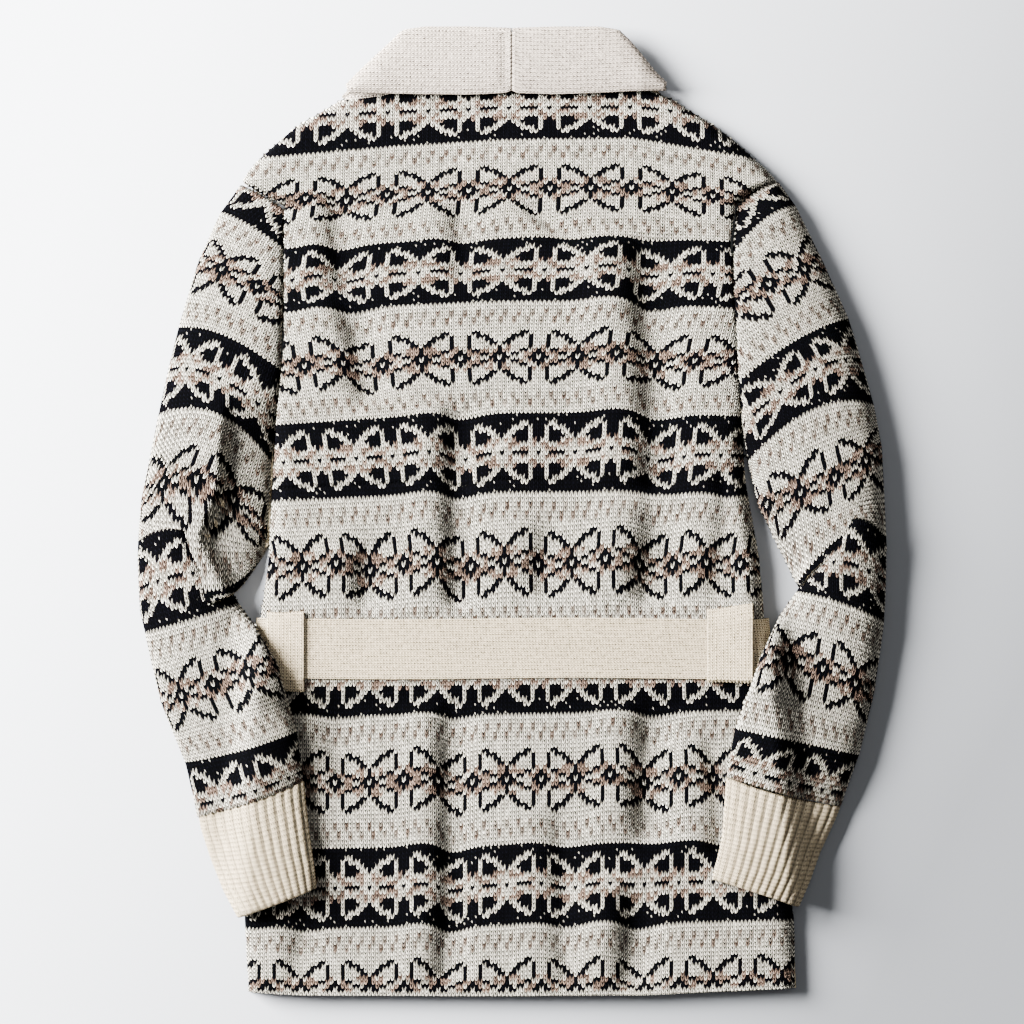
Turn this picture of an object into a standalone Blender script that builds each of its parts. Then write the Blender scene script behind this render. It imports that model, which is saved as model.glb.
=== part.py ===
"""Shawl collar cardigan lying flat, back up. +X is the photo's right, +Y is towards the collar, +Z is up."""
import math

import bmesh
import bpy
import numpy as np

# Driving dimensions, in millimetres
MM = 0.001
WALL = 3.0
SEAM_GAP = 0.3
LAYER_GAP = 0.5
BODY_RISE = 20.0
HEM_RISE = 11.0
NECK_RISE = 5.0
SIDE_ROUND = 18.0
BELT_Y = -125.0
BELT_WIDTH = 55.0
BELT_WALL = 2.6
BELT_LIFT = BELT_WALL + LAYER_GAP
LOOP_WALL = 2.6
SLEEVE_SEAM = 2.2
RIBS_ROUND = 26
SLEEVE_POINTS = 36
RIB_HEIGHT = 1.3
CUFF_WALL = 2.4
BAND_WIDTH = 70.0
NECKLINE_Y = 395.0

# Outline of the body: row, left side, right side
BODY_ROWS = (
    (-444.0, -241.5, 261.7),
    (-371.0, -245.2, 258.1),
    (-283.0, -241.5, 250.7),
    (-191.0, -236.0, 241.5),
    (-99.0, -230.5, 231.4),
    (-44.0, -223.1, 226.8),
    (29.0, -219.4, 213.9),
    (85.0, -215.7, 210.2),
    (158.0, -208.4, 205.6),
    (250.0, -208.4, 200.1),
    (282.0, -208.0, 205.0),
    (293.0, -230.5, 220.3),
    (303.0, -247.9, 243.3),
    (313.0, -241.5, 234.5),
    (327.0, -229.5, 219.5),
    (340.0, -213.9, 204.5),
    (356.0, -195.5, 184.0),
    (367.0, -175.0, 165.0),
    (379.0, -155.9, 147.0),
    (NECKLINE_Y, -110.0, 105.0),
)
# Rows where the cloth is divided, hem to neck
GRID_ROWS = (
    -444, -420, -395, -371, -340, -310, -283, -252, -222, -198, -176, -162, -150, -125, -100, -88,
    -74, -55, -30,
    0, 29, 57, 85, 120, 158, 195, 225, 250, 268, 282, 293, 303, 313, 327, 340, 356, 367, 379, 395,
)
# Fewer rows for the flat fronts
FLAT_ROWS = (
    -444, -371, -283, -222, -198, -176, -162, -150, -100, -88, -74, -55, -30, 29, 85, 158, 250,
    282, 293, 303, 313, 327, 340, 356, 367, 379,
)
# Height of the body tube: row, rise of the back over the fronts
RISE_ROWS = (
    (-444.0, HEM_RISE),
    (-371.0, HEM_RISE + 2.0),
    (-250.0, 14.0),
    (-125.0, 15.0),
    (0.0, 18.0),
    (120.0, BODY_RISE),
    (282.0, BODY_RISE),
    (340.0, 15.0),
    (379.0, 9.0),
    (NECKLINE_Y, NECK_RISE),
)
# How open the back's side edge stands, for the armhole: row, share of the rise
ARMHOLE_ROWS = ((55.0, 0.0), (95.0, 0.72), (160.0, 0.85), (262.0, 0.85), (284.0, 0.6), (303.0, 0.0))
# Edge of each front at the band: row, distance from centre front
FRONT_EDGE_ROWS = ((-444.0, 40.0), (60.0, 40.0), (379.0, 143.0))
# Outer edge of each band past the shoulder: row, left, right
BAND_TOP_ROWS = ((379.0, -149.0, 140.0), (392.0, -141.0, 131.0), (438.0, -100.0, 100.0))
# Collar seen from above, left half then right half:
# distance from centre back, neckline row, roll row, fall edge row
COLLAR_LEFT = (
    (0.2, 396.9, 443.6, 386.6),
    (6.0, 396.9, 444.0, 384.0),
    (40.0, 396.9, 445.0, 382.6),
    (80.0, 396.9, 445.0, 383.0),
    (100.0, 396.9, 442.0, 383.4),
    (108.0, 396.4, 434.0, 383.6),
    (122.0, 393.0, 421.0, 384.0),
    (140.0, 387.0, 404.0, 384.4),
    (151.0, 383.5, 393.0, 384.8),
)
COLLAR_RIGHT = (
    (0.2, 396.9, 443.6, 386.6),
    (6.0, 396.9, 444.0, 384.0),
    (40.0, 396.9, 445.0, 383.0),
    (80.0, 396.9, 445.0, 384.4),
    (98.0, 396.9, 442.0, 385.4),
    (108.0, 396.4, 432.0, 386.0),
    (118.0, 394.0, 420.0, 386.4),
    (131.0, 390.0, 404.0, 387.0),
    (141.0, 387.5, 394.5, 387.4),
)
# Collar section, along the strip: share of the way from the neckline to the roll, height share
COLLAR_STAND = ((0.0, 0.0), (0.35, 0.10), (0.75, 0.22))
COLLAR_FALL = ((0.75, 1.0), (0.45, 1.0), (0.2, 0.9), (0.0, 0.62))
COLLAR_HEIGHT = 15.0
# Sleeve sections from the armhole to the cuff:
# outer x, y, inner x, y, height, sag of the middle along the sleeve,
# share that lies on the body
SLEEVE_LEFT = (
    (-282.0, 254.0, -221.5, 62.0, 30.0, -6.0, 0.0),
    (-298.0, 212.0, -221.0, 48.0, 33.0, -6.0, 0.0),
    (-311.0, 155.0, -222.0, 36.0, 35.0, -4.0, 0.0),
    (-322.0, 100.0, -223.5, 22.0, 36.0, -2.0, 0.0),
    (-332.0, 52.0, -224.5, 6.0, 37.0, 0.0, 0.0),
    (-339.5, 10.0, -226.0, -10.0, 38.0, 0.0, 0.0),
    (-343.0, -28.0, -233.0, -38.0, 38.0, 0.0, 0.0),
    (-343.0, -58.0, -248.0, -60.0, 37.0, 0.0, 0.0),
    (-340.0, -90.0, -256.0, -76.0, 36.0, 0.0, 0.3),
    (-336.0, -116.0, -240.0, -98.0, 34.0, 0.0, 1.0),
    (-329.0, -144.0, -221.0, -130.0, 33.0, 0.0, 1.0),
    (-320.0, -178.0, -205.0, -166.0, 32.0, 0.0, 1.0),
    (-309.0, -212.0, -195.0, -200.0, 31.0, 0.0, 1.0),
    (-299.0, -240.0, -191.5, -222.0, 30.0, 2.0, 1.0),
    (-288.5, -276.0, -191.0, -246.0, 25.0, 4.0, 1.0),
)
SLEEVE_RIGHT = (
    (282.0, 237.0, 216.5, 62.0, 30.0, -6.0, 0.0),
    (299.0, 192.0, 216.0, 48.0, 33.0, -6.0, 0.0),
    (315.0, 150.0, 217.0, 36.0, 35.0, -4.0, 0.0),
    (329.0, 108.0, 218.5, 24.0, 36.0, -2.0, 0.0),
    (337.0, 68.0, 223.0, 8.0, 37.0, 0.0, 0.0),
    (342.0, 26.0, 231.0, -20.0, 38.0, 0.0, 0.0),
    (343.5, -16.0, 245.0, -46.0, 38.0, 0.0, 0.0),
    (343.0, -50.0, 259.0, -66.0, 37.0, 0.0, 0.0),
    (342.0, -90.0, 252.0, -78.0, 36.0, 0.0, 0.3),
    (339.0, -118.0, 240.0, -98.0, 35.0, 0.0, 1.0),
    (334.0, -152.0, 224.0, -134.0, 34.0, 0.0, 1.0),
    (325.5, -190.0, 211.0, -172.0, 33.0, 0.0, 1.0),
    (318.0, -222.0, 204.0, -206.0, 31.0, 0.0, 1.0),
    (311.0, -250.0, 199.5, -228.0, 29.0, 2.0, 1.0),
    (302.0, -270.0, 197.0, -242.0, 25.0, 4.0, 1.0),
)
# Cuff sections: outer x, y, inner x, y, height, sag, share on the body
CUFF_LEFT = (
    (-286.5, -279.5, -190.5, -249.0, 21.0, 2.0, 1.0),
    (-282.0, -300.0, -188.0, -280.0, 21.0, 0.0, 1.0),
    (-275.5, -320.0, -184.5, -304.0, 21.0, 0.0, 1.0),
    (-265.0, -346.0, -181.0, -326.0, 20.0, 0.0, 1.0),
    (-250.5, -371.5, -179.5, -344.5, 19.0, 0.0, 1.0),
)
CUFF_RIGHT = (
    (300.5, -273.5, 196.5, -245.5, 21.0, 2.0, 1.0),
    (291.0, -293.0, 195.0, -276.0, 21.0, 0.0, 1.0),
    (282.5, -312.0, 192.5, -298.0, 21.0, 0.0, 1.0),
    (273.0, -338.0, 188.0, -318.0, 20.0, 0.0, 1.0),
    (262.0, -361.5, 183.5, -336.0, 19.0, 0.0, 1.0),
)
# Fold at the elbow, where the inner part of the upper arm goes under the forearm: x, y down the crease
CREASE_LEFT = ((-262.0, 80.0), (-266.0, 20.0), (-284.0, -24.0), (-256.0, -74.0))
CREASE_RIGHT = ((262.0, -20.0), (270.0, -46.0), (263.0, -58.0), (259.0, -70.0))
FOLD_DEPTH_LEFT = 17.0
FOLD_DEPTH_RIGHT = 6.0
# Belt loops: left side, right side, top row, bottom row
LOOP_LEFT = (-224.0, -190.5, -92.0, -164.0)
LOOP_RIGHT = (178.5, 220.0, -86.5, -156.0)
# Colours by eye, linear
CREAM = (0.72, 0.68, 0.59, 1.0)
BLACK = (0.012, 0.012, 0.018, 1.0)
WARM_CREAM = (0.74, 0.68, 0.52, 1.0)


def smooth(low, high, value):
    """Runs smoothly from 0 at low to 1 at high."""
    share = min(max((value - low) / (high - low), 0.0), 1.0)
    return share * share * (3.0 - 2.0 * share)


def column(table, index, y):
    """The named column of a table of rows, read between its rows."""
    rows = sorted(table)
    return float(np.interp(y, [row[0] for row in rows], [row[index] for row in rows]))


def belt_bump(y):
    """How far the belt's front run lifts the cloth above it, by row."""
    return (BELT_LIFT + 0.3) * smooth(BELT_WIDTH / 2 + 26.0, BELT_WIDTH / 2 + 5.0, abs(y - BELT_Y))


def inset(x, y):
    """Distance of a point inside the nearer side of the body. It is negative outside."""
    return min(x - column(BODY_ROWS, 1, y), column(BODY_ROWS, 2, y) - x)


def back_height(share, y):
    """Height of the middle of the back's wall, where share runs from 0 at the side edge to 1 inside."""
    opening = column(ARMHOLE_ROWS, 1, y) if 55.0 < y < 303.0 else 0.0
    edge = WALL * 1.5 + SEAM_GAP + belt_bump(y)
    return edge + column(RISE_ROWS, 1, y) * (opening + (1.0 - opening) * share)


def back_at(x, y):
    """Height of the middle of the back's wall at a point."""
    depth = min(max(inset(x, y), 0.0), SIDE_ROUND)
    return back_height(math.sqrt(1.0 - (1.0 - depth / SIDE_ROUND) ** 2), y)


def ground(x, y):
    """What the forearm lies on: the table, the body with its belt and loops, and a ramp over the side edge."""
    over_belt = smooth(BELT_WIDTH / 2 + 32.0, BELT_WIDTH / 2 + 11.0, abs(y - BELT_Y))
    belt = (BELT_LIFT + LOOP_WALL + LAYER_GAP) * over_belt
    top = back_height(1.0, max(y, -444.0)) + WALL / 2 + LAYER_GAP + belt
    return top * smooth(-30.0, 6.0, inset(x, y))


def material(name, colour, roughness):
    made = bpy.data.materials.new(name)
    made.use_nodes = True
    shader = made.node_tree.nodes["Principled BSDF"]
    shader.inputs["Base Color"].default_value = colour
    shader.inputs["Roughness"].default_value = roughness
    return made


def object_from(name, points, faces, look):
    """Adds a mesh object, with its faces turned outward."""
    mesh = bpy.data.meshes.new(name)
    mesh.from_pydata([[value * MM for value in point] for point in points], [], faces)
    made = bpy.data.objects.new(name, mesh)
    made.data.materials.append(look)
    HOME.objects.link(made)
    shape = bmesh.new()
    shape.from_mesh(mesh)
    bmesh.ops.recalc_face_normals(shape, faces=shape.faces)
    shape.to_mesh(mesh)
    shape.free()
    return made


def grid_faces(rows, columns, closed=False):
    """Quads of a grid of points, wrapped round when closed."""
    steps = columns if closed else columns - 1
    faces = []
    for row in range(rows - 1):
        for step in range(steps):
            right = (step + 1) % columns
            faces.append(
                (
                    row * columns + step,
                    row * columns + right,
                    (row + 1) * columns + right,
                    (row + 1) * columns + step,
                )
            )
    return faces


def sheet(name, grid, wall, look, closed=False):
    """A cloth sheet: the middle surface as a grid, given its wall by a Solidify modifier."""
    points = [point for row in grid for point in row]
    made = object_from(name, points, grid_faces(len(grid), len(grid[0]), closed), look)
    thick = made.modifiers.new("wall", "SOLIDIFY")
    thick.thickness = wall * MM
    thick.offset = 0.0
    thick.use_even_offset = False
    return made


def side_columns():
    """Columns round the side edge of the back: inset, share of the rise."""
    angles = [math.radians(step) for step in (0.0, 20.0, 42.0, 65.0, 90.0)]
    return [(SIDE_ROUND * (1.0 - math.cos(angle)), math.sin(angle)) for angle in angles]


def back():
    grid = []
    edge = side_columns()
    for y in GRID_ROWS:
        left = column(BODY_ROWS, 1, y)
        right = column(BODY_ROWS, 2, y)
        row = [(left + depth, y, back_height(share, y)) for depth, share in edge]
        inner = np.linspace(left + SIDE_ROUND, right - SIDE_ROUND, 18)[1:-1]
        row += [(float(x), y, back_height(1.0, y)) for x in inner]
        row += [(right - depth, y, back_height(share, y)) for depth, share in reversed(edge)]
        grid.append(row)
    return sheet("back", grid, WALL, material("back_knit", CREAM, 0.9))


def front(name, side):
    """A flat front, lifted only over the belt. Side is -1 for the photo's left."""
    grid = []
    for y in FLAT_ROWS:
        outer = column(BODY_ROWS, 1 if side < 0 else 2, y)
        edge = side * column(FRONT_EDGE_ROWS, 1, y)
        grid.append([(outer + (edge - outer) * step / 4.0, y, WALL / 2 + belt_bump(y)) for step in range(5)])
    return sheet(name, grid, WALL, material(name + "_knit", CREAM, 0.9))


def band_outer(side, y):
    """Outer edge of a front band: along the front, then along the neck."""
    if y > 379.0:
        return column(BAND_TOP_ROWS, 1 if side < 0 else 2, y)
    return side * (column(FRONT_EDGE_ROWS, 1, y) - SEAM_GAP)


def band_inner(side, y):
    return band_outer(side, y) - side * BAND_WIDTH


def band(name, side):
    """The front stretch of the shawl collar. The right one laps over the left at centre front."""
    grid = []
    for y in sorted([*FLAT_ROWS, 108, 132, 392, 408, 423, 438]):
        outer = band_outer(side, y)
        inner = band_inner(side, y)
        row = []
        for step in range(9):
            x = outer + (inner - outer) * step / 8.0
            lap = 0.0 if side < 0 else 4.4 * smooth(30.0, 8.0, x - band_inner(-1, y))
            row.append((x, y, WALL / 2 + belt_bump(y) + lap))
        grid.append(row)
    return sheet(name, grid, WALL, material(name + "_knit", CREAM, 0.9))


def collar(name, side, table):
    """Half of the back-neck collar: up from the neckline, over the roll and back down as the fall."""
    grid = []
    for distance, start, roll, fall in table:
        x = side * distance
        low = back_height(1.0, min(start, NECKLINE_Y))
        full = min(1.0, (roll - start) / 30.0 + 0.25)
        high = low + COLLAR_HEIGHT * full
        radius = (high - low) * 0.34
        bend = roll - WALL / 2 - radius
        row = [(x, start + (bend - start) * along, low + (high - low) * rise) for along, rise in COLLAR_STAND]
        middle = (low + (high - low) * 0.22 + high) / 2
        half = high - middle
        for angle in (-60.0, -25.0, 10.0, 45.0, 75.0):
            turn = math.radians(angle)
            row.append((x, bend + radius * math.cos(turn), middle + half * math.sin(turn)))
        for along, rise in COLLAR_FALL:
            row.append((x, fall + (bend - fall) * along, low + (high - low) * rise + 2.0))
        grid.append(row)
    return sheet(name, grid, WALL, material(name + "_knit", CREAM, 0.9))


def belt():
    """One strip round the body: over the back, round both sides and under the fronts."""
    rows = [BELT_Y + BELT_WIDTH * (0.5 - step / 4.0) for step in range(5)]
    grid = []
    offset = WALL / 2 + LAYER_GAP + BELT_WALL / 2
    for y in rows:
        left = column(BODY_ROWS, 1, y)
        right = column(BODY_ROWS, 2, y)
        low = BELT_WALL / 2
        edge = back_height(0.0, y)
        path = [(x, y, low) for x in np.linspace(58.0, left + 14.0, 12)]
        path += side_run(left, y, -1.0, offset, low, edge)
        inner = np.linspace(left + SIDE_ROUND, right - SIDE_ROUND, 18)
        path += [(float(x), y, back_height(1.0, y) + offset) for x in inner]
        path += list(reversed(side_run(right, y, 1.0, offset, low, edge)))
        path += [(x, y, low) for x in np.linspace(right - 14.0, 62.0, 9)]
        grid.append(path)
    return sheet("belt", grid, BELT_WALL, material("belt_knit", WARM_CREAM, 0.9))


def side_run(edge_x, y, side, offset, low, edge):
    """The belt's turn round one side of the body, from the table up."""
    rise = column(RISE_ROWS, 1, y)
    run = [
        (edge_x - side * 4.0, y, low),
        (edge_x + side * 1.4, y, low + 0.9),
        (edge_x + side * 3.4, y, low + 3.2),
    ]
    for angle in (0.0, 20.0, 42.0, 65.0):
        turn = math.radians(angle)
        x = edge_x - side * SIDE_ROUND * (1.0 - math.cos(turn))
        height = edge + (rise + offset) * math.sin(turn)
        run.append((x + side * offset * math.cos(turn), y, height))
    return run


def loop(name, table):
    """A belt loop: a short strip over the belt, lying on the back above and below it."""
    left, right, top, bottom = table
    grid = []
    for y in [top + (bottom - top) * step / 12.0 for step in range(13)]:
        over = smooth(BELT_WIDTH / 2 + 7.0, BELT_WIDTH / 2 + 0.5, abs(y - BELT_Y))
        lift = WALL / 2 + LAYER_GAP + LOOP_WALL / 2 + (BELT_LIFT + 0.2) * over
        row = []
        for x in np.linspace(left, right, 8):
            slope = (back_at(x + 0.5, y) - back_at(x - 0.5, y)) / 1.0
            row.append((float(x), y, back_at(x, y) + lift * math.hypot(1.0, slope)))
        grid.append(row)
    return sheet(name, grid, LOOP_WALL, material(name + "_knit", WARM_CREAM, 0.9))


def fold_drop(x, y, crease, depth, side):
    """How far the upper arm's inner part lies below the forearm, past the crease."""
    rows = sorted((point[1], point[0]) for point in crease)
    low, high = rows[0][0], rows[-1][0]
    line = float(np.interp(y, [row[0] for row in rows], [row[1] for row in rows]))
    past = smooth(-7.0, 9.0, (line - x) * side)
    return depth * past * smooth(high + 30.0, high - 20.0, y) * smooth(low - 14.0, low + 6.0, y)


def section(plan, table_row, wall_in, count):
    """A flattened ring. Plan gives x, y at a share of the way across, from the outer side to the inner side."""
    height, over, fold = table_row
    ring = []
    low_half = min(8.0, height * 0.4)
    for step in range(count):
        angle = 2.0 * math.pi * step / count
        across = 0.5 - 0.5 * math.cos(angle)
        sine = math.sin(angle)
        x, y = plan(across, wall_in)
        rest = ground(x, y) * over
        middle = rest + low_half
        if sine >= 0.0:
            top = height - low_half - wall_in - fold(x, y)
            z = middle + max(top, low_half - wall_in) * sine ** 0.75
        else:
            z = middle - (low_half - wall_in) * (-sine) ** 0.45
        ring.append((x, y, z))
    return ring


def straight(row):
    """The plan line of a section table's row, sagging along the sleeve at its middle."""
    outer = np.array(row[0:2])
    inner = np.array(row[2:4])
    span = inner - outer
    length = float(np.linalg.norm(span))
    down = np.array((span[1], -span[0])) / length
    if down[1] > 0.0:
        down = -down

    def plan(across, wall_in):
        share = wall_in / length + across * (1.0 - 2.0 * wall_in / length)
        point = outer + span * share + down * row[5] * 4.0 * share * (1.0 - share)
        return float(point[0]), float(point[1])

    return plan


def armhole(side):
    """The plan line of the armhole, from the shoulder tip to the underarm, on the sleeve's side of the seam."""
    rows = [row for row in BODY_ROWS if 85.0 <= row[0] <= 303.0]
    points = [(row[1] if side < 0 else row[2], row[0]) for row in reversed(rows)]
    points.append((column(BODY_ROWS, 1 if side < 0 else 2, 72.0), 72.0))
    line = np.array(points)
    line[:, 0] += side * SLEEVE_SEAM
    line[-1, 0] += side * 2.5
    line[-2, 0] += side * 1.2
    line[0, 1] -= 1.0
    line[1, 1] -= 3.0
    line[2, 1] -= 3.5
    steps = np.concatenate([[0.0], np.cumsum(np.linalg.norm(np.diff(line, axis=0), axis=1))])

    def plan(across, wall_in):
        at = wall_in + across * (steps[-1] - 2.0 * wall_in)
        return float(np.interp(at, steps, line[:, 0])), float(np.interp(at, steps, line[:, 1]))

    return plan


def finer(table):
    """The table with a row added midway between each two, on the smooth curve through their neighbours."""
    rows = [table[0]]
    for index in range(len(table) - 1):
        near = table[index], table[index + 1]
        far = table[max(index - 1, 0)], table[min(index + 2, len(table) - 1)]
        rows.append(tuple((9.0 * (a + b) - c - d) / 16.0 for a, b, c, d in zip(*near, *far)))
        rows.append(table[index + 1])
    return rows


def sleeve(name, side, table, crease, depth):
    """A sleeve: the armhole ring, then rings through the table's rows, walled by Solidify."""

    def fold(x, y):
        return fold_drop(x, y, crease, depth, side)

    half = WALL / 2
    rings = [section(armhole(side), (25.0, 0.0, fold), half, SLEEVE_POINTS)]
    rings += [section(straight(row), (row[4], row[6], fold), half, SLEEVE_POINTS) for row in finer(table)]
    return sheet(name, rings, WALL, material(name + "_knit", CREAM, 0.9), closed=True)


def cuff(name, side, table):
    """A ribbed cuff: ribs raised in the wall's outer points, over a plain inside."""

    def flat(x, y):
        return 0.0

    count = RIBS_ROUND * 4
    outer = []
    inner = []
    for row in table:
        plain = section(straight(row), (row[4], row[6], flat), RIB_HEIGHT, count)
        raised = section(straight(row), (row[4], row[6], flat), 0.0, count)
        outer.append([raised[step] if step % 4 in (1, 2) else plain[step] for step in range(count)])
        inner.append(section(straight(row), (row[4], row[6], flat), RIB_HEIGHT + CUFF_WALL, count))
    rings = outer + list(reversed(inner))
    points = [point for ring in rings for point in ring]
    faces = grid_faces(len(rings), count, closed=True)
    last = (len(rings) - 1) * count
    faces += [(last + step, last + (step + 1) % count, (step + 1) % count, step) for step in range(count)]
    return object_from(name, points, faces, material(name + "_knit", WARM_CREAM, 0.9))


# Scene
for thing in list(bpy.data.objects):
    bpy.data.objects.remove(thing)
HOME = bpy.data.collections.new("shawl_collar_cardigan")
bpy.context.scene.collection.children.link(HOME)
bpy.context.scene.unit_settings.scale_length = 1.0

back()
front("front_left", -1)
front("front_right", 1)
band("band_left", -1)
band("band_right", 1)
collar("collar_left", -1, COLLAR_LEFT)
collar("collar_right", 1, COLLAR_RIGHT)
sleeve("sleeve_left", -1, SLEEVE_LEFT, CREASE_LEFT, FOLD_DEPTH_LEFT)
sleeve("sleeve_right", 1, SLEEVE_RIGHT, CREASE_RIGHT, FOLD_DEPTH_RIGHT)
cuff("cuff_left", -1, CUFF_LEFT)
cuff("cuff_right", 1, CUFF_RIGHT)
belt()
loop("belt_loop_left", LOOP_LEFT)
loop("belt_loop_right", LOOP_RIGHT)
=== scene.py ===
import math

import bpy
import numpy as np
from bpy.props import FloatProperty, FloatVectorProperty, PointerProperty
from bpy.types import Operator, Panel, PropertyGroup
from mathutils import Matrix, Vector


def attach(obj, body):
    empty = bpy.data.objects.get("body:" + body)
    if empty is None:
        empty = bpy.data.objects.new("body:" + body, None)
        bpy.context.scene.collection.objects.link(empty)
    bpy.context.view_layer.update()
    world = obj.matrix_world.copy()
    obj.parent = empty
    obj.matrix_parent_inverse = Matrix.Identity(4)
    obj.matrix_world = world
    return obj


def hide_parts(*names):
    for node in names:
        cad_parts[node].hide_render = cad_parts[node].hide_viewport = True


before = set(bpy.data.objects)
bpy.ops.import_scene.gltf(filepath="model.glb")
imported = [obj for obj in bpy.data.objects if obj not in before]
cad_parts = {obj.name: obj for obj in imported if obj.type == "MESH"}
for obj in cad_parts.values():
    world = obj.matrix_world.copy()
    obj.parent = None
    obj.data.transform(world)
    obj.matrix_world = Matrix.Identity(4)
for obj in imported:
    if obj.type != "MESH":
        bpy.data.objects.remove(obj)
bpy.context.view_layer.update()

bl_info = {
    "name": "Shawl Collar Cardigan",
    "version": (1, 0, 0),
    "blender": (4, 5, 0),
    "location": "View3D > Sidebar > Cardigan",
    "description": "Dresses the laid-out cardigan in its knit",
    "category": "Object",
}

MM = 0.001
WALL = 3.0
SIDE_ROUND = 18.0
BELT_Y = -125.0
BELT_WIDTH = 55.0
BELT_LIFT = 3.1
BELT_WALL = 2.6
LAYER_GAP = 0.5
# Height over the back of the belt with a loop over it
BELT_PILE = 6.2
# Stitch of the collar and the bands, row of the belt and the loops, column of a loop
STITCH_WIDE, STITCH_TALL, BELT_ROW, LOOP_COLUMN = 3.5, 3.3, 2.8, 3.3
# Stage, in metres
FLOOR_HALF = 6.0
CAMERA_HEIGHT = 5.0
FRAME_WIDTH = 0.942

# The garment's form, as in the CAD source: row, left side, right side
BODY_ROWS = np.array((
    (-444.0, -241.5, 261.7), (-371.0, -245.2, 258.1), (-283.0, -241.5, 250.7), (-191.0, -236.0, 241.5),
    (-99.0, -230.5, 231.4), (-44.0, -223.1, 226.8), (29.0, -219.4, 213.9), (85.0, -215.7, 210.2),
    (158.0, -208.4, 205.6), (250.0, -208.4, 200.1), (282.0, -208.0, 205.0), (293.0, -230.5, 220.3),
    (303.0, -247.9, 243.3), (313.0, -241.5, 234.5), (327.0, -229.5, 219.5), (340.0, -213.9, 204.5),
    (356.0, -195.5, 184.0), (367.0, -175.0, 165.0), (379.0, -155.9, 147.0), (395.0, -110.0, 105.0),
))
# Row, rise of the back over the fronts
RISE_ROWS = np.array((
    (-444.0, 11.0), (-371.0, 13.0), (-250.0, 14.0), (-125.0, 15.0), (0.0, 18.0), (120.0, 20.0),
    (282.0, 20.0), (340.0, 15.0), (379.0, 9.0), (395.0, 5.0),
))
# Row, share of the rise at the side edge, for the armhole
ARMHOLE_ROWS = np.array(((55.0, 0.0), (95.0, 0.72), (160.0, 0.85), (262.0, 0.85), (284.0, 0.6), (303.0, 0.0)))

# Knit rows of the back at the edges of its bands: knit row, height up the garment at five places across
BACK_X = np.array((-235.0, -110.0, -7.0, 110.0, 240.0))
BACK_BANDS = np.array((
    (-8.0, 428.0, 424.0, 424.0, 424.0, 426.0),
    (19.0, 323.0, 334.0, 340.5, 342.0, 320.0),
    (50.0, 239.0, 246.0, 250.0, 251.0, 245.0),
    (69.0, 180.0, 188.0, 192.5, 192.0, 183.0),
    (100.0, 78.0, 86.0, 90.0, 90.5, 86.0),
    (119.0, 8.5, 14.0, 17.5, 17.5, 13.0),
    (150.0, -114.0, -113.0, -112.0, -111.0, -110.0),
    (169.0, -188.0, -187.0, -186.0, -184.5, -182.0),
    (200.0, -310.0, -308.0, -306.0, -304.0, -302.0),
    (219.0, -383.0, -381.5, -380.0, -378.0, -375.0),
    (234.0, -436.5, -437.5, -437.5, -435.5, -431.5),
    (237.0, -446.0, -447.5, -447.5, -445.5, -441.5),
))
# Last row of the back's pattern, with the cream cast-on edge below it
PATTERN_END = 235
# Height of the hem at places across
HEM = np.array((
    (-262.0, -439.0), (-241.0, -440.5), (-190.0, -443.4), (0.0, -444.0), (120.0, -443.2), (262.0, -436.5),
))
# Height up the garment, width of a stitch, place of the middle of the pattern
BACK_PITCH = np.array((
    (-440.0, 3.50, -4.5), (-242.0, 3.50, -4.7), (-40.0, 3.42, -6.9), (52.0, 3.70, -9.0), (140.0, 3.96, -11.5),
    (222.0, 4.28, -8.7), (296.0, 4.14, -2.3), (400.0, 4.10, -3.0),
))
# Creases of the back: x and y at the top, x and y at the bottom, half width, depth
BACK_TROUGHS = (
    (-163.0, 304.0, -150.0, 190.0, 13.0, 5.5),
    (-152.0, 206.0, -126.0, 92.0, 15.0, 7.0),
    (-131.0, -12.0, -133.0, -100.0, 13.0, 6.0),
    (-48.0, 112.0, -52.0, -98.0, 13.0, 7.0),
    (123.0, 262.0, 132.0, 8.0, 16.0, 8.5),
    (131.0, 22.0, 124.0, -96.0, 15.0, 7.5),
    (31.0, 8.0, 30.0, -90.0, 12.0, 3.8),
    (-47.0, 300.0, -46.0, 200.0, 12.0, 3.8),
    (2.0, 300.0, 66.0, 236.0, 14.0, 4.0),
    (-53.0, -166.0, -61.0, -440.0, 12.0, 7.0),
    (126.0, -166.0, 124.0, -312.0, 15.0, 8.0),
    (112.0, -330.0, 110.0, -446.0, 14.0, 7.5),
    (44.0, -262.0, 54.0, -446.0, 14.0, 4.5),
    (-168.0, -166.0, -150.0, -266.0, 15.0, 4.4),
    (-190.0, -330.0, -196.0, -446.0, 12.0, 3.4),
    (200.0, 60.0, 190.0, -90.0, 12.0, 3.4),
    (186.0, -190.0, 192.0, -330.0, 13.0, 4.0),
)

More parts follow.
